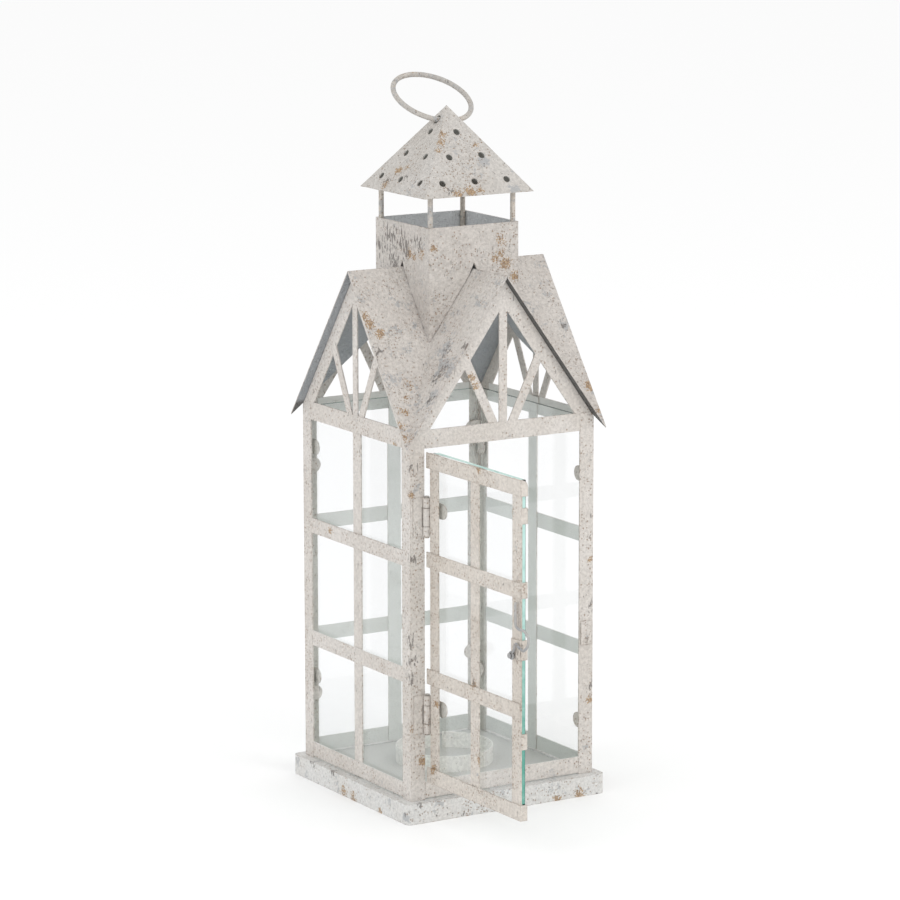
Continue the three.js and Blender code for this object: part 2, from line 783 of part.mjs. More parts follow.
const spans = knuckleSpans();
const postLeafFront = -cageHalf - leafSheet - hingeLineY;
['upper', 'lower'].forEach((place) => {
  const foot = hingeMiddles[place] - hingeLength / 2;
  const frameLeaf = named(
    `${place}_hinge_frame_leaf`,
    makeLeaf(-1, [spans[0], spans[2]], [spans[1]], postLeafFront),
  );
  const doorLeaf = named(`${place}_hinge_door_leaf`, makeDoorLeaf(spans));
  const pin = named(`${place}_hinge_pin`, makeHingePin(), bareWire);
  [frameLeaf, doorLeaf, pin].forEach((piece) => {
    piece.position.z = foot;
  });
  hingeLine.add(frameLeaf, pin);
  door.add(doorLeaf);
});

door.add(named('door_hinge_stile', makeDoorUpright(doorHingeGap)));
door.add(named('door_free_stile', makeFreeStile()));
door.add(named('door_upright_bar', makeDoorUpright((doorHingeGap + doorReach - barWidth) / 2)));
door.add(named('door_bottom_rail', makeDoorRail(doorBottom)));
door.add(named('door_lower_cross_bar', makeDoorCrossBar(barHeights[0])));
door.add(named('door_upper_cross_bar', makeDoorCrossBar(barHeights[1])));
door.add(named('door_top_rail', makeDoorRail(doorTop - barWidth, topFoldRounding)));
door.add(named('door_glass', makeDoorGlass(), glass));
door.add(named('latch_plate', makeLatchPlate()));
door.add(named('latch_rivet', makeLatchRivet(), bareWire));
const latchHook = named('latch_hook', makeLatchHook(), bareWire);
latchHook.position.set(latchPivotX, latchWireY, latchPivotHeight);
door.add(latchHook);
lantern.add(named('latch_catch', makeLatchCatch()));

export default lantern;
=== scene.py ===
import math
import bmesh
import bpy
from mathutils import Matrix, Vector, noise


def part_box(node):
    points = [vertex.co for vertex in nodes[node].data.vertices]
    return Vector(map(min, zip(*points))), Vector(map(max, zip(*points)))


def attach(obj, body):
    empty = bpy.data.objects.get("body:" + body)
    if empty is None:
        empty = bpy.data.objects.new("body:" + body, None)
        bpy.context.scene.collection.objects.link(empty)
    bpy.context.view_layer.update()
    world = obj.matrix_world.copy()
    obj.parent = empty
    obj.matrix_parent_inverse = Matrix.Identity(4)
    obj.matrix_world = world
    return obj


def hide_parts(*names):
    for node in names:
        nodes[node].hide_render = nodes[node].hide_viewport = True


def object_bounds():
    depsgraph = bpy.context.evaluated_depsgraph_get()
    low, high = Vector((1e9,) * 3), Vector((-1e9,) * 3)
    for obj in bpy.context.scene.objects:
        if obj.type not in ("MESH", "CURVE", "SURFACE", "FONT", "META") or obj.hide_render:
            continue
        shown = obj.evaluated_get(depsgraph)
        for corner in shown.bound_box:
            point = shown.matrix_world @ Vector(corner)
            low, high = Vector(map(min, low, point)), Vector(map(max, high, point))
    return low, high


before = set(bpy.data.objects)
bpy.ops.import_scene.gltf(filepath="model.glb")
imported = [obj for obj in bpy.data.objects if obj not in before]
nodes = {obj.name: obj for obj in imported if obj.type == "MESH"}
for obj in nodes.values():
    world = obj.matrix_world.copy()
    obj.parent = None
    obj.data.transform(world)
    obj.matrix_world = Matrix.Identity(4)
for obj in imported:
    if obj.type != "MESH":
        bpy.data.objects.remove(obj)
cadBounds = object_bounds()
mm = 0.001
corners = ["front_left", "front_right", "back_right", "back_left"]
sides = ["front", "right", "back", "left"]
print("candle lantern: frame loaded with", len(nodes), "parts")

# camera, light and floor, in metres and watts
studio = {
    "cameraPlace": (-1.33598, -2.20909, 0.70522),
    "cameraLook": (0.5089, 0.8401, -0.1880),
    "cameraRoll": 0.085,  # degrees
    "lens": 161.08,
    "sensorWidth": 36,
    "farClip": 100,
    "aimHeight": 0.2,  # the lamps point at the lantern's middle
    "skyStrength": 1.0,
    "keyPower": 15.0,
    "keyPlace": (0.5, -2.3, 1.9),
    "keySize": 1.4,
    "keyTint": (1.0, 0.98, 0.96),
    "fillPower": 9.0,
    "fillPlace": (-2.3, -0.4, 1.5),
    "fillSize": 1.2,
    "fillTint": (0.93, 0.97, 1.0),
    "floorTone": (0.96, 0.96, 0.96, 1),
    "floorReach": 25.0,
}


def buildStudio():
    scene = bpy.context.scene
    scene.view_settings.view_transform = "Standard"
    cameraData = bpy.data.cameras.new("camera")
    cameraData.lens = studio["lens"]
    cameraData.sensor_width = studio["sensorWidth"]
    cameraData.clip_end = studio["farClip"]
    camera = bpy.data.objects.new("camera", cameraData)
    camera.location = studio["cameraPlace"]
    camera.rotation_mode = "QUATERNION"
    look = Vector(studio["cameraLook"]).normalized()
    turn = look.to_track_quat("-Z", "Y")
    roll = Matrix.Rotation(math.radians(studio["cameraRoll"]), 3, look).to_quaternion()
    camera.rotation_quaternion = roll @ turn
    scene.collection.objects.link(camera)
    scene.camera = camera

    world = bpy.data.worlds.new("softRoom")
    world.use_nodes = True
    sky = world.node_tree.nodes["Background"]
    sky.inputs["Color"].default_value = (1, 1, 1, 1)
    sky.inputs["Strength"].default_value = studio["skyStrength"]
    scene.world = world

    for name in ("key", "fill"):
        lampData = bpy.data.lights.new(name + "Light", "AREA")
        lampData.size = studio[name + "Size"]
        lampData.energy = studio[name + "Power"]
        lampData.color = studio[name + "Tint"]
        lamp = bpy.data.objects.new(name + "Light", lampData)
        lamp.location = studio[name + "Place"]
        aim = Vector((0, 0, studio["aimHeight"])) - lamp.location
        lamp.rotation_euler = aim.to_track_quat("-Z", "Y").to_euler()
        scene.collection.objects.link(lamp)

    reach = studio["floorReach"]
    height = cadBounds[0].z
    floorMesh = bpy.data.meshes.new("floor")
    outline = [(-reach, -reach, height), (reach, -reach, height),
               (reach, reach, height), (-reach, reach, height)]
    floorMesh.from_pydata(outline, [], [(0, 1, 2, 3)])
    floor = bpy.data.objects.new("floor", floorMesh)
    scene.collection.objects.link(floor)
    paper = bpy.data.materials.new("paleFloor")
    paper.use_nodes = True
    shader = paper.node_tree.nodes["Principled BSDF"]
    shader.inputs["Base Color"].default_value = studio["floorTone"]
    shader.inputs["Roughness"].default_value = 1.0
    shader.inputs["Specular IOR Level"].default_value = 0.0
    floorMesh.materials.append(paper)


buildStudio()
print("studio ready")


# small helpers for node trees
def fillInputs(tree, node, values):
    for name, value in (values or {}).items():
        if isinstance(value, bpy.types.NodeSocket):
            tree.links.new(value, node.inputs[name])
        else:
            node.inputs[name].default_value = value


def addNode(tree, kind, values=None, **settings):
    node = tree.nodes.new("ShaderNode" + kind)
    for name, value in settings.items():
        setattr(node, name, value)
    fillInputs(tree, node, values)
    return node


def maths(tree, operation, first, second=None, third=None, clamp=False):
    values = {i: v for i, v in enumerate((first, second, third)) if v is not None}
    return addNode(tree, "Math", values, operation=operation, use_clamp=clamp).outputs[0]


def mixColour(tree, share, first, second):
    node = addNode(tree, "Mix", {0: share, 6: first, 7: second}, data_type="RGBA")
    return node.outputs[2]


# puts a colour on top of another where the mask is, at the given strength
def layOver(tree, under, mask, strength, over):
    return mixColour(tree, maths(tree, "MULTIPLY", mask, strength), under, over)


def ramp(tree, value, low, high, start=0.0, end=1.0):
    values = {"Value": value, "From Min": low, "From Max": high, "To Min": start, "To Max": end}
    return addNode(tree, "MapRange", values, clamp=True, interpolation_type="SMOOTHSTEP").outputs["Result"]


def newGroup(name, inputs, outputs):
    group = bpy.data.node_groups.new(name, "ShaderNodeTree")
    for label, kind, value in inputs:
        socket = group.interface.new_socket(label, in_out="INPUT", socket_type="NodeSocket" + kind)
        if value is not None:
            socket.default_value = value
    for label, kind in outputs:
        group.interface.new_socket(label, in_out="OUTPUT", socket_type="NodeSocket" + kind)
    start = group.nodes.new("NodeGroupInput")
    end = group.nodes.new("NodeGroupOutput")
    return group, start.outputs, end.inputs


def useGroup(tree, group, values=None):
    node = tree.nodes.new("ShaderNodeGroup")
    node.node_tree = group
    fillInputs(tree, node, values)
    return node.outputs


speckShape = {"raggedScale": 1500.0, "raggedReach": 0.0009, "spread": 0.8, "least": 0.5, "softEdge": 0.55}


# small ragged specks: dirt in the paint, pits down to the steel
def makeSpecks():
    group, given, out = newGroup(
        "specks",
        [("Vector", "Vector", None), ("Scale", "Float", 400.0), ("Share", "Float", 0.3),
         ("Size", "Float", 0.2)],
        [("Mask", "Float")],
    )
    ragged = addNode(group, "TexNoise", {"Vector": given["Vector"], "Scale": speckShape["raggedScale"],
                                         "Detail": 1.0})
    pushed = addNode(group, "VectorMath", {0: ragged.outputs["Color"], 1: [speckShape["raggedReach"]] * 3,
                                           2: given["Vector"]}, operation="MULTIPLY_ADD")
    cells = addNode(group, "TexVoronoi", {"Vector": pushed.outputs["Vector"], "Scale": given["Scale"]})
    parts = addNode(group, "SeparateColor", {"Color": cells.outputs["Color"]})
    chosen = maths(group, "LESS_THAN", parts.outputs["Red"], given["Share"])
    grown = maths(group, "MULTIPLY_ADD", parts.outputs["Green"], speckShape["spread"], speckShape["least"])
    radius = maths(group, "MULTIPLY", grown, given["Size"])
    inner = maths(group, "MULTIPLY", radius, speckShape["softEdge"])
    disc = ramp(group, cells.outputs["Distance"], inner, radius, 1.0, 0.0)
    group.links.new(maths(group, "MULTIPLY", disc, chosen), out["Mask"])
    return group


# broken patches made of many small dots, dense in the middle
def makePatches():
    group, given, out = newGroup(
        "patches",
        [("Vector", "Vector", None), ("Patch Scale", "Float", 30.0), ("Dot Scale", "Float", 420.0),
         ("Amount", "Float", 0.3), ("Breakup", "Float", 0.5)],
        [("Mask", "Float")],
    )
    wide = addNode(group, "TexNoise", {"Vector": given["Vector"], "Scale": given["Patch Scale"],
                                       "Detail": 2.0})
    fine = addNode(group, "TexNoise", {"Vector": given["Vector"], "Scale": given["Dot Scale"], "Detail": 3.0,
                                       "Roughness": 0.65})
    dots = maths(group, "MULTIPLY", maths(group, "SUBTRACT", fine.outputs["Fac"], 0.5), given["Breakup"])
    level = maths(group, "ADD", maths(group, "ADD", wide.outputs["Fac"], given["Amount"]), dots)
    group.links.new(ramp(group, level, 0.92, 1.04), out["Mask"])
    return group


rustShape = {"cloudScale": 170.0, "cloudShare": 0.45, "gather": 0.37, "toneScale": 1300.0}


# fine rust grains, close together where rust has gathered
def makeRustGrain():
    group, given, out = newGroup(
        "rustGrain",
        [("Vector", "Vector", None), ("Scale", "Float", 900.0), ("Gathered", "Float", 0.0),
         ("Amount", "Float", 0.0)],
        [("Mask", "Float"), ("Tone", "Float")],
    )
    grain = addNode(group, "TexNoise", {"Vector": given["Vector"], "Scale": given["Scale"], "Detail": 2.0,
                                        "Roughness": 0.6})
    cloud = addNode(group, "TexNoise", {"Vector": given["Vector"], "Scale": rustShape["cloudScale"],
                                        "Detail": 2.0})
    centred = maths(group, "SUBTRACT", cloud.outputs["Fac"], 0.5)
    drift = maths(group, "MULTIPLY", centred, rustShape["cloudShare"])
    near = maths(group, "MULTIPLY", given["Gathered"], rustShape["gather"])
    level = maths(group, "ADD", maths(group, "ADD", grain.outputs["Fac"], near),
                  maths(group, "ADD", drift, given["Amount"]))
    group.links.new(ramp(group, level, 0.74, 0.8), out["Mask"])
    shade = addNode(group, "TexNoise", {"Vector": given["Vector"], "Scale": rustShape["toneScale"],
                                        "Detail": 1.0})
    group.links.new(ramp(group, shade.outputs["Fac"], 0.42, 0.58), out["Tone"])
    return group


strokeShape = {"squeeze": (1.0, 1.0, 0.34), "gather": 0.22}  # squeezed along z, so they run up and down


# short dark strokes, where brushed paint has cracked
def makeStrokes():
    group, given, out = newGroup(
        "strokes",
        [("Vector", "Vector", None), ("Scale", "Float", 620.0), ("Gathered", "Float", 0.0)],
        [("Mask", "Float")],
    )
    drawn = addNode(group, "VectorMath", {0: given["Vector"], 1: strokeShape["squeeze"]},
                    operation="MULTIPLY")
    bent = addNode(group, "TexNoise", {"Vector": drawn.outputs["Vector"], "Scale": given["Scale"],
                                       "Detail": 2.0, "Roughness": 0.55, "Distortion": 0.5})
    level = maths(group, "MULTIPLY_ADD", given["Gathered"], strokeShape["gather"], bent.outputs["Fac"])
    group.links.new(ramp(group, level, 0.69, 0.74), out["Mask"])
    return group


# the thin line where paint has rubbed off an edge
def makeEdgeWear():
    group, given, out = newGroup(
        "edgeWear",
        [("Vector", "Vector", None), ("Width", "Float", 0.0009), ("Chip Scale", "Float", 170.0),
         ("Amount", "Float", 0.5)],
        [("Mask", "Float")],
    )
    rounded = addNode(group, "Bevel", {"Radius": given["Width"]}, samples=4)
    plain = addNode(group, "NewGeometry")
    facing = addNode(group, "VectorMath", {0: rounded.outputs["Normal"], 1: plain.outputs["Normal"]},
                     operation="DOT_PRODUCT").outputs["Value"]
    edge = ramp(group, facing, 0.985, 0.85)
    chips = addNode(group, "TexNoise", {"Vector": given["Vector"], "Scale": given["Chip Scale"], "Detail": 4.0,
                                        "Roughness": 0.7})
    kept = ramp(group, maths(group, "ADD", chips.outputs["Fac"], given["Amount"]), 0.92, 1.04)
    group.links.new(maths(group, "MULTIPLY", edge, kept), out["Mask"])
    return group


# a soft round area, where rust or dirt gathers
def makeArea():
    group, given, out = newGroup(
        "area",
        [("Vector", "Vector", None), ("Centre", "Vector", (0, 0, 0)), ("Radius", "Float", 0.01)],
        [("Mask", "Float")],
    )
    away = addNode(group, "VectorMath", {0: given["Vector"], 1: given["Centre"]}, operation="DISTANCE")
    group.links.new(ramp(group, away.outputs["Value"], given["Radius"], 0.0), out["Mask"])
    return group


# the side of a sheet that looks in towards the lantern's middle
def makeInnerSide():
    group, given, out = newGroup(
        "innerSide",
        [("Vector", "Vector", None), ("Normal", "Vector", None), ("Middle", "Vector", (0, 0, 0.15))],
        [("Mask", "Float")],
    )
    outward = addNode(group, "VectorMath", {0: given["Vector"], 1: given["Middle"]}, operation="SUBTRACT")
    facing = addNode(group, "VectorMath", {0: outward.outputs["Vector"], 1: given["Normal"]},
                     operation="DOT_PRODUCT").outputs["Value"]
    group.links.new(maths(group, "LESS_THAN", facing, 0.0), out["Mask"])
    return group


specks = makeSpecks()
patches = makePatches()
rustGrain = makeRustGrain()
strokes = makeStrokes()
edgeWear = makeEdgeWear()
area = makeArea()
innerSide = makeInnerSide()


# how the paint has aged, with the painted shade and highlight on its lumps: scales are in waves per metre,
# shares and strengths from 0 to 1
ageing = {
    "toneScale": 26.0, "lumpShadeScale": 520.0, "lumpShadeDim": 0.87, "lumpHighlightBright": 1.09,
    "scuffScale": 90.0, "scuffDotScale": 420.0, "scuffGather": 0.3, "scuffStrength": 0.55,
    "crowdScale": 45.0, "crowdThin": 0.08, "crowdDense": 2.1, "crowdExtra": 0.5,
    "dirtScale": 700.0, "dirtSize": 0.38, "dirtStrength": 0.68,
    "grimeScale": 420.0, "grimeShare": 0.5, "grimeSize": 0.26, "grimeStrength": 0.32,
    "grimeColour": (0.24, 0.2, 0.165, 1),
    "rustStrength": 0.82,
    "crackStrength": 0.75, "crackColour": (0.13, 0.115, 0.105, 1),
    "pitScale": 260.0, "pitSize": 0.16, "pitStrength": 0.62, "pitColour": (0.15, 0.12, 0.1, 1),
    "wornStrength": 0.72, "wornColour": (0.21, 0.155, 0.115, 1),
    "roughness": 0.62, "damagedExtra": 0.2, "dentDepth": 0.3,
}


# cream paint brushed over steel: tone, painted shade and highlight on its lumps, specks, rust, scuffs and bare
# edges
def makeAgedPaint():
    group, given, out = newGroup(
        "agedPaint",
        [("Vector", "Vector", None),
         ("Paint", "Color", (0.635, 0.6, 0.565, 1)), ("Shade", "Color", (0.59, 0.55, 0.51, 1)),
         ("Rust", "Color", (0.42, 0.27, 0.13, 1)), ("Dark Rust", "Color", (0.22, 0.13, 0.065, 1)),
         ("Dirt", "Color", (0.27, 0.165, 0.095, 1)), ("Scuff", "Color", (0.3, 0.32, 0.34, 1)),
         ("Speck Share", "Float", 0.3), ("Pit Share", "Float", 0.15), ("Rust Amount", "Float", 0.0),
         ("Scuff Amount", "Float", 0.2), ("Edge Amount", "Float", 0.45), ("Extra Rust", "Float", 0.0),
         ("Extra Strokes", "Float", 0.0), ("Extra Specks", "Float", 0.0), ("Extra Scuffs", "Float", 0.0),
         ("Lump Scale", "Float", 520.0), ("Lump Depth", "Float", 0.6)],
        [("Color", "Color"), ("Roughness", "Float"), ("Height", "Float")],
    )
    place = given["Vector"]
    tone = addNode(group, "TexNoise", {"Vector": place, "Scale": ageing["toneScale"], "Detail": 3.0})
    colour = mixColour(group, ramp(group, tone.outputs["Fac"], 0.35, 0.68), given["Paint"], given["Shade"])
    # painted shade and highlight: fine noise darkens and lightens the paint as light would on its lumps
    lumpShading = addNode(group, "TexNoise", {"Vector": place, "Scale": ageing["lumpShadeScale"], "Detail": 3.0,
                                         "Roughness": 0.65})
    pale = ramp(group, lumpShading.outputs["Fac"], 0.32, 0.68, ageing["lumpShadeDim"], ageing["lumpHighlightBright"])
    lumpShaded = addNode(group, "VectorMath", {0: colour, "Scale": pale}, operation="SCALE")

    scuffLevel = maths(group, "MULTIPLY_ADD", given["Extra Scuffs"], ageing["scuffGather"],
                       given["Scuff Amount"])
    scuffs = useGroup(group, patches, {"Vector": place, "Patch Scale": ageing["scuffScale"],
                                       "Dot Scale": ageing["scuffDotScale"], "Amount": scuffLevel,
                                       "Breakup": 1.0})["Mask"]
    colour = layOver(group, lumpShaded.outputs["Vector"], scuffs, ageing["scuffStrength"], given["Scuff"])

    crowd = addNode(group, "TexNoise", {"Vector": place, "Scale": ageing["crowdScale"], "Detail": 1.0})
    crowded = ramp(group, crowd.outputs["Fac"], 0.36, 0.66, ageing["crowdThin"], ageing["crowdDense"])
    share = maths(group, "MULTIPLY", given["Speck Share"], crowded)
    share = maths(group, "MULTIPLY_ADD", given["Extra Specks"], ageing["crowdExtra"], share)
    brown = useGroup(group, specks, {"Vector": place, "Scale": ageing["dirtScale"], "Share": share,
                                     "Size": ageing["dirtSize"]})["Mask"]
    colour = layOver(group, colour, brown, ageing["dirtStrength"], given["Dirt"])
    grimeShare = maths(group, "MULTIPLY", share, ageing["grimeShare"])
    grime = useGroup(group, specks, {"Vector": place, "Scale": ageing["grimeScale"], "Share": grimeShare,
                                     "Size": ageing["grimeSize"]})["Mask"]
    colour = layOver(group, colour, grime, ageing["grimeStrength"], ageing["grimeColour"])

    rust = useGroup(group, rustGrain, {"Vector": place, "Gathered": given["Extra Rust"],
                                       "Amount": given["Rust Amount"]})
    rustColour = mixColour(group, rust["Tone"], given["Rust"], given["Dark Rust"])
    colour = layOver(group, colour, rust["Mask"], ageing["rustStrength"], rustColour)
    cracks = useGroup(group, strokes, {"Vector": place, "Gathered": given["Extra Strokes"]})["Mask"]
    colour = layOver(group, colour, cracks, ageing["crackStrength"], ageing["crackColour"])
    pits = useGroup(group, specks, {"Vector": place, "Scale": ageing["pitScale"],
                                    "Share": given["Pit Share"], "Size": ageing["pitSize"]})["Mask"]
    colour = layOver(group, colour, pits, ageing["pitStrength"], ageing["pitColour"])
    worn = useGroup(group, edgeWear, {"Vector": place, "Amount": given["Edge Amount"]})["Mask"]
    colour = layOver(group, colour, worn, ageing["wornStrength"], ageing["wornColour"])
    group.links.new(colour, out["Color"])

    damage = maths(group, "MAXIMUM", maths(group, "MAXIMUM", rust["Mask"], pits), worn)
    rough = maths(group, "MULTIPLY_ADD", damage, ageing["damagedExtra"], ageing["roughness"], clamp=True)
    group.links.new(rough, out["Roughness"])
    lumps = addNode(group, "TexNoise", {"Vector": place, "Scale": given["Lump Scale"], "Detail": 3.0,
                                        "Roughness": 0.6})
    raised = maths(group, "MULTIPLY", lumps.outputs["Fac"], given["Lump Depth"])
    sunk = maths(group, "MAXIMUM", maths(group, "MAXIMUM", pits, cracks), brown)
    dented = maths(group, "MULTIPLY", sunk, ageing["dentDepth"])
    group.links.new(maths(group, "SUBTRACT", raised, dented), out["Height"])
    return group


agedPaint = makeAgedPaint()
print("shared effects ready")

# what sets each painted finish apart
paintLooks = {
    "trayPaint": {"Paint": (0.67, 0.665, 0.65, 1), "Shade": (0.63, 0.615, 0.59, 1), "Rust Amount": 0.015,
                  "Edge Amount": 0.5, "Pit Share": 0.1, "Scuff Amount": 0.26, "Speck Share": 0.26},
    "postPaint": {"Rust Amount": 0.0, "Edge Amount": 0.47, "Pit Share": 0.12, "Speck Share": 0.34},
    "barPaint": {"Rust Amount": 0.0, "Edge Amount": 0.44, "Pit Share": 0.08, "Speck Share": 0.26},
    "gablePaint": {"Rust Amount": 0.01, "Edge Amount": 0.42, "Pit Share": 0.08, "Speck Share": 0.24},
    "doorPaint": {"Paint": (0.62, 0.575, 0.525, 1), "Shade": (0.57, 0.52, 0.465, 1), "Rust Amount": 0.0,
                  "Edge Amount": 0.5, "Pit Share": 0.14, "Speck Share": 0.4},
    "hingePaint": {"Rust Amount": 0.03, "Edge Amount": 0.52, "Pit Share": 0.16},
    "candleRingPaint": {"Paint": (0.8, 0.795, 0.755, 1), "Shade": (0.77, 0.76, 0.72, 1), "Rust Amount": -0.1,
                        "Edge Amount": 0.15, "Pit Share": 0.02, "Speck Share": 0.04, "Scuff Amount": 0.05},
    "wirePaint": {"Paint": (0.58, 0.53, 0.47, 1), "Shade": (0.42, 0.4, 0.375, 1), "Rust Amount": 0.03,
                  "Edge Amount": 0.0, "Pit Share": 0.12, "Scuff Amount": 0.36},
    "hookPaint": {"Paint": (0.5, 0.49, 0.47, 1), "Shade": (0.34, 0.335, 0.33, 1), "Rust Amount": 0.02,
                  "Edge Amount": 0.0, "Pit Share": 0.1, "Scuff Amount": 0.45},
    "roofPaint": {"Paint": (0.6, 0.565, 0.53, 1), "Shade": (0.55, 0.51, 0.475, 1), "Rust Amount": -0.01,
                  "Scuff Amount": 0.3, "Pit Share": 0.14, "Speck Share": 0.3,
                  "Lump Scale": 430.0, "Lump Depth": 1.9},
    "chimneyPaint": {"Paint": (0.6, 0.565, 0.53, 1), "Shade": (0.55, 0.51, 0.475, 1), "Rust Amount": 0.0,
                     "Scuff Amount": 0.24, "Pit Share": 0.14, "Speck Share": 0.34,
                     "Lump Scale": 430.0, "Lump Depth": 2.3},
    "capPaint": {"Paint": (0.545, 0.52, 0.49, 1), "Shade": (0.5, 0.47, 0.435, 1), "Rust Amount": 0.0,
                 "Scuff Amount": 0.24, "Pit Share": 0.1, "Speck Share": 0.32, "Lump Depth": 1.4},
}
# where rust has gathered: centre and radius in millimetres
rustAreas = {
    "capPaint": [((-11, -13, 420), 6), ((-14, -16, 415), 7), ((-18, -20, 410), 5), ((-15, -39, 385), 8),
                 ((-6, -39, 385), 9), ((2, -39, 385), 6), ((10, -19, 412), 5), ((-37, 14, 386), 7),
                 ((-31, 8, 395), 7), ((-28, 1, 398), 5)],
    "chimneyPaint": [((-34, -9, 344), 7), ((-34, -15, 342), 6), ((-34, -24, 346), 7), ((-30, -34, 350), 6),
                     ((20, -34, 352), 8), ((20, -34, 344), 7), ((25, -34, 336), 9), ((30, -34, 328), 8),
                     ((16, -34, 340), 6)],
    "roofPaint": [((-73, -19, 308), 8), ((-71, -23, 303), 8), ((-66, -27, 297), 8), ((-58, -49, 267), 8),
                  ((-63, -55, 259), 7), ((-68, -60, 252), 7), ((-73, -66, 243), 8), ((-75, -71, 237), 9),
                  ((74, -58, 255), 9), ((74, -68, 241), 7), ((60, -73, 262), 5)],
    "trayPaint": [((38, -75, -13), 8), ((56, -75, -13), 10), ((-75, -5, -12), 9), ((-75, 8, -10), 8),
                  ((-75, -40, -13), 6)],
    "doorPaint": [((-58, -126, 88), 7), ((-58, -78, 22), 8), ((-58, -81, 66), 6), ((-58, -132, 40), 8),
                  ((-58, -132, 226), 5)],
    "postPaint": [((-66, -69, 47), 8), ((-68, -69, 200), 5), ((67, -69, 49), 6), ((67, -69, 143), 5),
                  ((-60, -69, 26), 7)],
    "barPaint": [((-69, -50, 228), 7), ((-69, 34, 159), 5)],
    "gablePaint": [((-69, -52, 262), 5), ((-25, -69, 272), 7), ((-21, -69, 265), 6)],
}
# where the paint has cracked into dark strokes
strokeAreas = {
    "chimneyPaint": [((-34, 14, 352), 20), ((-34, -2, 348), 20), ((-34, 10, 336), 20), ((-34, -20, 352), 12),
                     ((-34, 28, 345), 14)],
    "roofPaint": [((-72, -34, 287), 9), ((-42, -64, 277), 11), ((-46, -62, 271), 9), ((-35, -56, 288), 9),
                  ((-54, -69, 260), 8), ((-30, -73, 292), 8), ((70, -30, 292), 7)],
    "capPaint": [((-37, 14, 388), 7), ((-32, -4, 392), 6), ((-20, -38, 387), 5)],
    "postPaint": [((-69, -68, 105), 9), ((-69, -68, 92), 9), ((-69, -68, 80), 8), ((-68, -69, 216), 9),
                  ((-67, -69, 158), 7), ((68, -69, 112), 7), ((68, -69, 60), 6)],
    "doorPaint": [((-58, -182, 119), 9), ((-58, -182, 60), 8), ((-58, -167, 86), 4), ((-58, -182, 140), 8),
                  ((-58, -126, 89), 6)],
    "trayPaint": [((-75, -73, -6), 6), ((-66, -75, 0), 6), ((-75, 22, 0), 7), ((-75, 50, 0), 7)],
}
# where brown specks crowd
speckAreas = {
    "postPaint": [((-64, -69, 60), 45), ((-64, -69, 150), 60), ((64, -69, 30), 22)],
    "doorPaint": [((-58, -132, 45), 34), ((-58, -126, 88), 16), ((-58, -78, 50), 40), ((-58, -124, 200), 26),
                  ((-58, -150, 20), 26)],
    "chimneyPaint": [((-34, 5, 345), 26), ((22, -34, 340), 20)],
    "capPaint": [((-10, -39, 386), 22), ((-36, 8, 388), 16), ((10, -22, 410), 9), ((-14, -22, 408), 12)],
    "roofPaint": [((-66, -24, 300), 20), ((-62, -55, 260), 20), ((-40, -66, 280), 22), ((74, -45, 270), 26)],
    "trayPaint": [((-75, 0, -8), 26), ((-20, -75, -6), 24)],
    "barPaint": [((-69, 0, 226), 30), ((-69, 40, 160), 16)],
}
# where the paint is rubbed to bare grey
scuffAreas = {
    "roofPaint": [((-42, -64, 277), 14), ((-35, -56, 290), 10), ((-72, -34, 287), 8), ((70, -30, 292), 8),
                  ((-54, -69, 262), 10)],
    "postPaint": [((64, -69, 100), 8), ((64, -69, 18), 7), ((64, -69, 212), 7), ((-64, -69, 205), 8)],
    "trayPaint": [((-75, 68, -2), 8), ((-75, -70, -8), 6)],
    "capPaint": [((26, -39, 386), 9), ((12, -26, 402), 6)],
    "wirePaint": [((8, 10, 430), 9), ((-18, 26, 440), 8)],
}
# painted shade and light on the side that looks in: darker under the roof and cap and on the floor within the
# cage, lighter inside the chimney and on the bars
innerShadeAndLightTones = {
    "roofPaint": (0.31, 0.335, 0.36, 1),
    "chimneyPaint": (0.84, 0.87, 0.9, 1),
    "capPaint": (0.4, 0.4, 0.385, 1),
    "barPaint": (0.74, 0.735, 0.71, 1),
    "trayPaint": (0.54, 0.54, 0.515, 1),
}
innerGlow = {"capPaint": (0.065, 0.065, 0.06, 1)}  # light that strays in through the punched holes
underVerge = {"from": 66, "to": 69, "tone": (0.05, 0.05, 0.05, 1)}  # the roof's shaded front and back edge
floorInside = {"edge": 66, "depth": -0.6}  # the floor plate within the cage gets painted shade
# painted shade: the inside of the chimney darkens towards its foot
chimneyGloom = {"foot": 339, "clear": 350, "tone": (0.03, 0.03, 0.032, 1)}
paintSurface = {"innerShare": 0.85, "specular": 0.35, "bumpStrength": 0.9, "bumpDistance": 1 * mm}
gatheredAreas = {"Extra Rust": rustAreas, "Extra Strokes": strokeAreas, "Extra Specks": speckAreas,
                 "Extra Scuffs": scuffAreas}


# one mask for all the areas in the list
def gatherAreas(tree, place, areas):
    gathered = None
    for centre, radius in areas:
        mask = useGroup(tree, area, {"Vector": place, "Centre": [c * mm for c in centre],
                                     "Radius": radius * mm})["Mask"]
        gathered = mask if gathered is None else maths(tree, "MAXIMUM", gathered, mask)
    return gathered


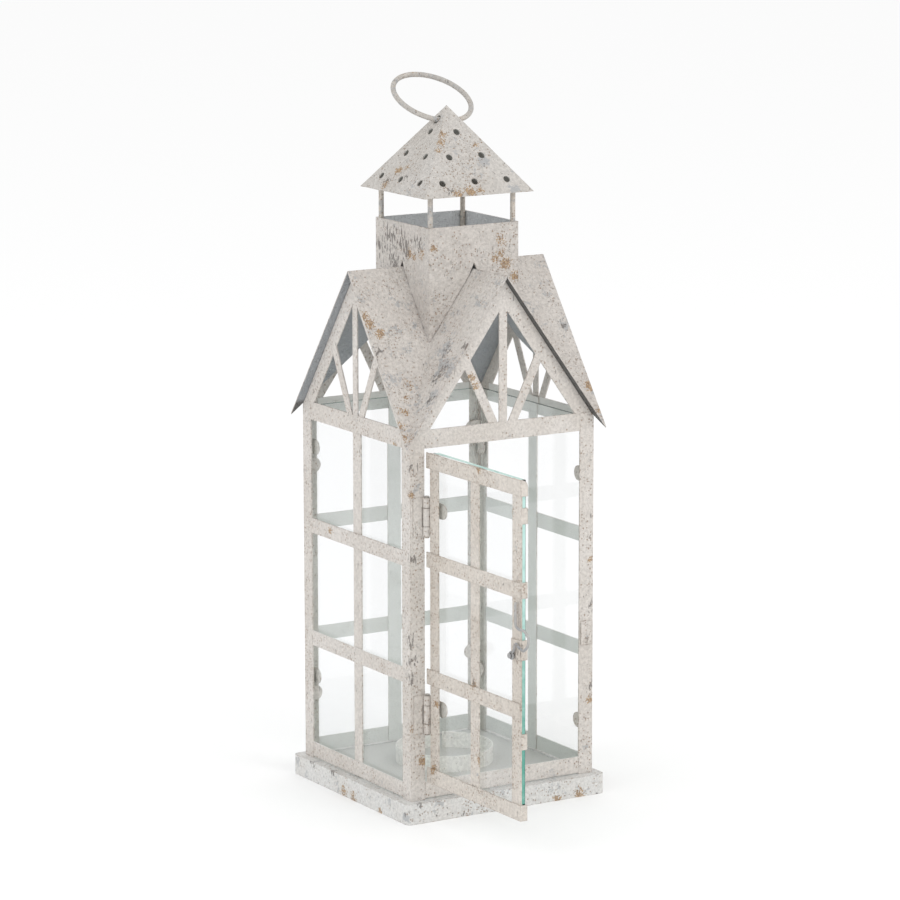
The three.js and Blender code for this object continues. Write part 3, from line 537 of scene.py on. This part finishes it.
def makePaint(name):
    material = bpy.data.materials.new(name)
    material.use_nodes = True
    tree = material.node_tree
    shader = tree.nodes["Principled BSDF"]
    coordinates = addNode(tree, "TexCoord")
    place = coordinates.outputs["Object"]
    values = {"Vector": place, **paintLooks[name]}
    for label, areas in gatheredAreas.items():
        if name in areas:
            values[label] = gatherAreas(tree, place, areas[name])
    painted = useGroup(tree, agedPaint, values)
    colour = painted["Color"]
    if name in innerShadeAndLightTones:
        inner = useGroup(tree, innerSide, {"Vector": place, "Normal": coordinates.outputs["Normal"]})["Mask"]
        tone = innerShadeAndLightTones[name]
        parts = addNode(tree, "SeparateXYZ", {"Vector": place}).outputs
        if name == "roofPaint":
            outside = maths(tree, "ABSOLUTE", parts["Y"])
            verge = ramp(tree, outside, underVerge["from"] * mm, underVerge["to"] * mm)
            tone = mixColour(tree, verge, tone, underVerge["tone"])
        if name == "trayPaint":
            reach = maths(tree, "MAXIMUM", maths(tree, "ABSOLUTE", parts["X"]),
                          maths(tree, "ABSOLUTE", parts["Y"]))
            within = maths(tree, "LESS_THAN", reach, floorInside["edge"] * mm)
            raised = maths(tree, "GREATER_THAN", parts["Z"], floorInside["depth"] * mm)
            inner = maths(tree, "MULTIPLY", within, raised)
        if name == "chimneyPaint":
            low = ramp(tree, parts["Z"], chimneyGloom["clear"] * mm, chimneyGloom["foot"] * mm)
            tone = mixColour(tree, low, tone, chimneyGloom["tone"])
        # painted shade and light laid over the side that looks in
        colour = layOver(tree, colour, inner, paintSurface["innerShare"], tone)
        if name in innerGlow:
            paintedGlow = mixColour(tree, inner, (0, 0, 0, 1), innerGlow[name])
            tree.links.new(paintedGlow, shader.inputs["Emission Color"])
            shader.inputs["Emission Strength"].default_value = 1.0
    tree.links.new(colour, shader.inputs["Base Color"])
    tree.links.new(painted["Roughness"], shader.inputs["Roughness"])
    shader.inputs["Specular IOR Level"].default_value = paintSurface["specular"]
    bump = addNode(tree, "Bump", {"Height": painted["Height"], "Strength": paintSurface["bumpStrength"],
                                  "Distance": paintSurface["bumpDistance"]})
    tree.links.new(bump.outputs["Normal"], shader.inputs["Normal"])
    return material


paints = {name: makePaint(name) for name in paintLooks}

# clear panes, green at their cut edges
glassLook = {
    "body": (0.962, 0.967, 0.97, 1),
    "edge": (0.3, 0.66, 0.58, 1),
    "smear": 0.02,
    "smearScale": 30.0,
    "ior": 1.45,
    "letsThrough": (0.96, 0.98, 0.975, 1),
}


def makeGlass(name, flatAxis):
    material = bpy.data.materials.new(name)
    material.use_nodes = True
    tree = material.node_tree
    shader = tree.nodes["Principled BSDF"]
    coordinates = addNode(tree, "TexCoord")
    parts = addNode(tree, "SeparateXYZ", {"Vector": coordinates.outputs["Normal"]})
    flat = maths(tree, "ABSOLUTE", parts.outputs[flatAxis])
    rim = ramp(tree, flat, 0.7, 0.5)
    colour = mixColour(tree, rim, glassLook["body"], glassLook["edge"])
    tree.links.new(colour, shader.inputs["Base Color"])
    smear = addNode(tree, "TexNoise", {"Vector": coordinates.outputs["Object"],
                                       "Scale": glassLook["smearScale"], "Detail": 5.0})
    rough = ramp(tree, smear.outputs["Fac"], 0.45, 0.8, 0.0, glassLook["smear"])
    tree.links.new(rough, shader.inputs["Roughness"])
    shader.inputs["Transmission Weight"].default_value = 1.0
    shader.inputs["IOR"].default_value = glassLook["ior"]
    path = addNode(tree, "LightPath")
    clear = addNode(tree, "BsdfTransparent", {"Color": glassLook["letsThrough"]})
    lit = addNode(tree, "MixShader", {0: path.outputs["Is Shadow Ray"], 1: shader.outputs["BSDF"],
                                      2: clear.outputs["BSDF"]})
    blend = addNode(tree, "MixShader", {0: path.outputs["Is Diffuse Ray"], 1: lit.outputs[0],
                                        2: clear.outputs["BSDF"]})
    tree.links.new(blend.outputs[0], tree.nodes["Material Output"].inputs["Surface"])
    return material


glassAcrossX = makeGlass("glassAcrossX", "X")
glassAcrossY = makeGlass("glassAcrossY", "Y")


glassEdgeLook = {
    "low": (0.08, 0.29, 0.23, 1),
    "high": (0.42, 0.62, 0.58, 1),
    "foot": 0.02,  # heights in metres between which the edge turns paler
    "head": 0.2,
    "fleckScale": 130.0,
    "fleckShare": 1.2,
    "paintedGlow": 0.18,
    "roughness": 0.12,
}


# a cut glass edge is green, with a painted glow standing in for the light it gathers
def makeGlassEdge():
    material = bpy.data.materials.new("glassEdge")
    material.use_nodes = True
    tree = material.node_tree
    shader = tree.nodes["Principled BSDF"]
    place = addNode(tree, "TexCoord").outputs["Object"]
    along = addNode(tree, "SeparateXYZ", {"Vector": place}).outputs["Z"]
    noisy = addNode(tree, "TexNoise", {"Vector": place, "Scale": glassEdgeLook["fleckScale"], "Detail": 4.0,
                                       "Roughness": 0.7})
    flecks = maths(tree, "MULTIPLY", maths(tree, "SUBTRACT", noisy.outputs["Fac"], 0.5),
                   glassEdgeLook["fleckShare"])
    paler = ramp(tree, along, glassEdgeLook["foot"], glassEdgeLook["head"])
    share = maths(tree, "ADD", paler, flecks, clamp=True)
    colour = mixColour(tree, share, glassEdgeLook["low"], glassEdgeLook["high"])
    tree.links.new(colour, shader.inputs["Base Color"])
    # painted light: the edge glows in its own green
    tree.links.new(colour, shader.inputs["Emission Color"])
    shader.inputs["Emission Strength"].default_value = glassEdgeLook["paintedGlow"]
    shader.inputs["Roughness"].default_value = glassEdgeLook["roughness"]
    return material


glassEdge = makeGlassEdge()
print("materials ready:", len(bpy.data.materials))

# which part of the frame wears which finish
finishes = {"base_tray": "trayPaint", "chimney": "chimneyPaint", "chimney_cap": "capPaint",
            "cap_floor_plate": "capPaint",
            "candle_ring": "candleRingPaint", "latch_catch": "hingePaint", "latch_plate": "doorPaint",
            "latch_rivet": "hookPaint", "latch_hook": "hookPaint", "carry_ring": "wirePaint"}
for corner in corners:
    finishes["corner_post_" + corner] = "postPaint"
    finishes["roof_sheet_" + corner] = "roofPaint"
    finishes["cap_rod_" + corner] = "wirePaint"
for side in sides:
    finishes["gable_frame_" + side] = "gablePaint"
for name in nodes:
    if name.startswith("door_") and name != "door_glass":
        finishes[name] = "doorPaint"
    elif "hinge" in name:
        finishes[name] = "wirePaint" if name.endswith("pin") else "hingePaint"
glassSides = {"glass_pane_right": glassAcrossX, "glass_pane_left": glassAcrossX, "door_glass": glassAcrossX,
              "glass_pane_back": glassAcrossY}


def dress(piece, material):
    piece.data.materials.clear()
    piece.data.materials.append(material)


for name, piece in nodes.items():
    if name in glassSides:
        dress(piece, glassSides[name])
    else:
        dress(piece, paints[finishes.get(name, "barPaint")])
print("finishes on")

# folded and cut sheet has slightly soft edges
softEdges = {"width": 0.18 * mm, "segments": 2, "sharperThan": 40}


def softenEdges(piece, width):
    weld = piece.modifiers.new("weld", "WELD")
    weld.merge_threshold = 0.005 * mm
    bevel = piece.modifiers.new("softEdge", "BEVEL")
    bevel.width = width
    bevel.segments = softEdges["segments"]
    bevel.limit_method = "ANGLE"
    bevel.angle_limit = math.radians(softEdges["sharperThan"])


for name, piece in nodes.items():
    softenEdges(piece, softEdges["width"])


def newPiece(name, mesh, material, body, replaced=()):
    piece = bpy.data.objects.new(name, mesh)
    bpy.context.scene.collection.objects.link(piece)
    mesh.materials.append(material)
    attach(piece, body)
    if replaced:
        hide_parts(*replaced)
    return piece


wireForm = {"bumpScale": 260, "endTaper": 0.72, "endRise": 0.35, "endTip": 0.5}  # shares of the radius


def sweepWire(points, radius, closed=False, turns=16, wobble=0.03):
    mesh = bpy.data.meshes.new("wire")
    work = bmesh.new()
    count = len(points)
    side = None
    rings = []
    for i, point in enumerate(points):
        ahead = points[(i + 1) % count] if closed or i < count - 1 else point
        behind = points[i - 1] if closed or i > 0 else point
        along = (ahead - behind).normalized()
        if side is None:
            side = along.orthogonal().normalized()
        side = (side - along * side.dot(along)).normalized()
        other = along.cross(side)
        ring = []
        for j in range(turns):
            angle = 2 * math.pi * j / turns
            out = side * math.cos(angle) + other * math.sin(angle)
            bumpy = 1 + wobble * noise.noise((point + out * radius) * wireForm["bumpScale"])
            ring.append(work.verts.new(point + out * radius * bumpy))
        rings.append(ring)
    spans = count if closed else count - 1
    shift = 0
    for i in range(spans):
        first, second = rings[i], rings[(i + 1) % count]
        if closed and i == count - 1:
            shift = min(range(turns), key=lambda k: (second[k].co - first[0].co).length)
        for j in range(turns):
            a, b = first[j], first[(j + 1) % turns]
            c, d = second[(j + 1 + shift) % turns], second[(j + shift) % turns]
            work.faces.new((a, b, c, d))
    if not closed:
        for ring, point, along in ((rings[0], points[0], points[0] - points[1]),
                                   (rings[-1], points[-1], points[-1] - points[-2])):
            along = along.normalized()
            middle = point + along * radius * wireForm["endRise"]
            inner = [work.verts.new(middle + (v.co - point) * wireForm["endTaper"]) for v in ring]
            tip = work.verts.new(point + along * radius * wireForm["endTip"])
            for j in range(turns):
                k = (j + 1) % turns
                work.faces.new((ring[j], ring[k], inner[k], inner[j]))
                work.faces.new((inner[j], inner[k], tip))
    bmesh.ops.recalc_face_normals(work, faces=work.faces)
    for face in work.faces:
        face.smooth = True
    work.to_mesh(mesh)
    work.free()
    return mesh


# a smooth curve that passes through every point
def smoothRoute(points, steps):
    route = []
    count = len(points)
    for i in range(count - 1):
        p0, p1, p2, p3 = (points[max(0, min(count - 1, k))] for k in (i - 1, i, i + 1, i + 2))
        for step in range(steps):
            t = step / steps
            route.append(0.5 * (2 * p1 + (p2 - p0) * t + (2 * p0 - 5 * p1 + 4 * p2 - p3) * t * t
                                + (3 * p1 - p0 - 3 * p2 + p3) * t ** 3))
    route.append(points[-1])
    return route


# the ring as the part has it, in millimetres and degrees
carryRing = {"radius": 26.3, "wire": 1.7, "lean": 60.6, "skew": 3.8, "tilt": 4.3, "pivotHeight": 427.16,
             "pivotReach": 7.18, "steps": 120}


def buildCarryRing():
    values = carryRing
    rise = math.sqrt(values["radius"] ** 2 - values["pivotReach"] ** 2)
    turn = (Matrix.Rotation(-math.radians(values["skew"]), 3, "Z")
            @ Matrix.Rotation(math.radians(values["tilt"]), 3, "Y")
            @ Matrix.Rotation(-math.radians(values["lean"]), 3, "X"))
    points = []
    for i in range(values["steps"]):
        angle = 2 * math.pi * i / values["steps"]
        flat = Vector((values["radius"] * math.cos(angle), 0, rise + values["radius"] * math.sin(angle)))
        points.append((turn @ flat + Vector((0, 0, values["pivotHeight"]))) * mm)
    mesh = sweepWire(points, values["wire"] * mm, closed=True, wobble=0.05)
    newPiece("carryRing", mesh, paints["wirePaint"], "ring", ["carry_ring"])


latchHook = {
    "wire": 0.84,
    "route": [(1.2, 1.6, 0), (3.4, 5, 0), (5, 8.2, 0), (8.5, 6.4, 0), (13.5, 5.4, 0), (18.2, 9.5, 0),
              (18.6, 14.5, 0), (14, 18, 0), (8.5, 18, 0), (5, 19.6, 0), (4.4, 25, 0), (4.2, 30.4, 0),
              (4, 32.8, 0.2), (4, 33.8, 0.8)],
    "pivot": (100.5, -1.504, 116.6),
    "hingeLine": (-58.3, -71.4, 0),
    "doorAngle": -89,
    "eyeRadius": 1.9,
    "eyeEnd": 52,  # degrees
    "eyeTurn": 330,
    "eyeSteps": 21,
    "stepsPerPoint": 6,
    "facets": 12,
}


def buildLatchHook():
    values = latchHook
    pivot = Vector(values["pivot"])
    turn = Matrix.Rotation(math.radians(values["doorAngle"]), 3, "Z")

    def placed(x, z, depth):
        return (Vector(values["hingeLine"]) + turn @ (pivot + Vector((x, depth, z)))) * mm

    eye = []
    for i in range(values["eyeSteps"] + 1):
        left = (values["eyeSteps"] - i) / values["eyeSteps"]
        angle = math.radians(values["eyeEnd"] - values["eyeTurn"] * left)
        eye.append((values["eyeRadius"] * math.cos(angle), values["eyeRadius"] * math.sin(angle), 0))
    arm = smoothRoute([placed(*p) for p in values["route"][1:]], values["stepsPerPoint"])
    mesh = sweepWire([placed(*p) for p in eye] + arm, values["wire"] * mm, turns=values["facets"])
    newPiece("latchHook", mesh, paints["hookPaint"], "latch", ["latch_hook"])


capRods = {"steps": 24, "endInset": 0.5}  # the round end takes up a share of the radius


def buildCapRods():
    steps = capRods["steps"]
    for corner in corners:
        name = "cap_rod_" + corner
        low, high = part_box(name)
        middle = (low + high) / 2
        radius = (high.x - low.x) / 2
        foot = low.z + radius * capRods["endInset"]
        rise = high.z - low.z - radius
        points = [Vector((middle.x, middle.y, foot + rise * i / steps)) for i in range(steps + 1)]
        words = corner.split("_")
        newPiece("capRod" + words[0].title() + words[1].title(), sweepWire(points, radius),
                 paints["wirePaint"], "lantern", [name])


# the cut edges of the door's glass that show: the free one between the folded rails, and the top one
doorGlassEdge = {"proud": 0.06, "root": 0.01, "inset": 0.3, "ends": 10.2, "topEnds": 1.5, "chips": 0.12,
                 "chipScale": 400, "steps": 40}


def buildGlassStrip(name, start, end, across, outward):
    values = doorGlassEdge
    work = bmesh.new()
    steps = values["steps"]
    rows = []
    for i in range(steps + 1):
        place = start.lerp(end, i / steps)
        chip = abs(values["chips"] * mm * noise.noise(place * values["chipScale"]))
        side = across * (1 - chip / across.length)
        top = outward * values["proud"] * mm
        root = outward * values["root"] * mm
        rows.append([work.verts.new(place + offset) for offset in (top, side + top, side + root, root)])
    for first, second in zip(rows, rows[1:]):
        for j in range(4):
            k = (j + 1) % 4
            work.faces.new((first[j], first[k], second[k], second[j]))
    work.faces.new(rows[0][::-1])
    work.faces.new(rows[-1])
    bmesh.ops.recalc_face_normals(work, faces=work.faces)
    mesh = bpy.data.meshes.new(name)
    work.to_mesh(mesh)
    work.free()
    newPiece(name, mesh, glassEdge, "door")


def buildDoorGlassEdges():
    values = doorGlassEdge
    low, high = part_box("door_glass")
    inset, ends, topEnds = (values[key] * mm for key in ("inset", "ends", "topEnds"))
    across = Vector((high.x - low.x - 2 * inset, 0, 0))
    buildGlassStrip("doorGlassFreeEdge", Vector((low.x + inset, low.y, low.z + ends)),
                    Vector((low.x + inset, low.y, high.z - ends)), across, Vector((0, -1, 0)))
    buildGlassStrip("doorGlassTopEdge", Vector((low.x + inset, low.y + topEnds, high.z)),
                    Vector((low.x + inset, high.y - topEnds, high.z)), across, Vector((0, 0, 1)))


buildCarryRing()
buildLatchHook()
buildCapRods()
buildDoorGlassEdges()
print("wires and glass edges made")

print("candle lantern done")
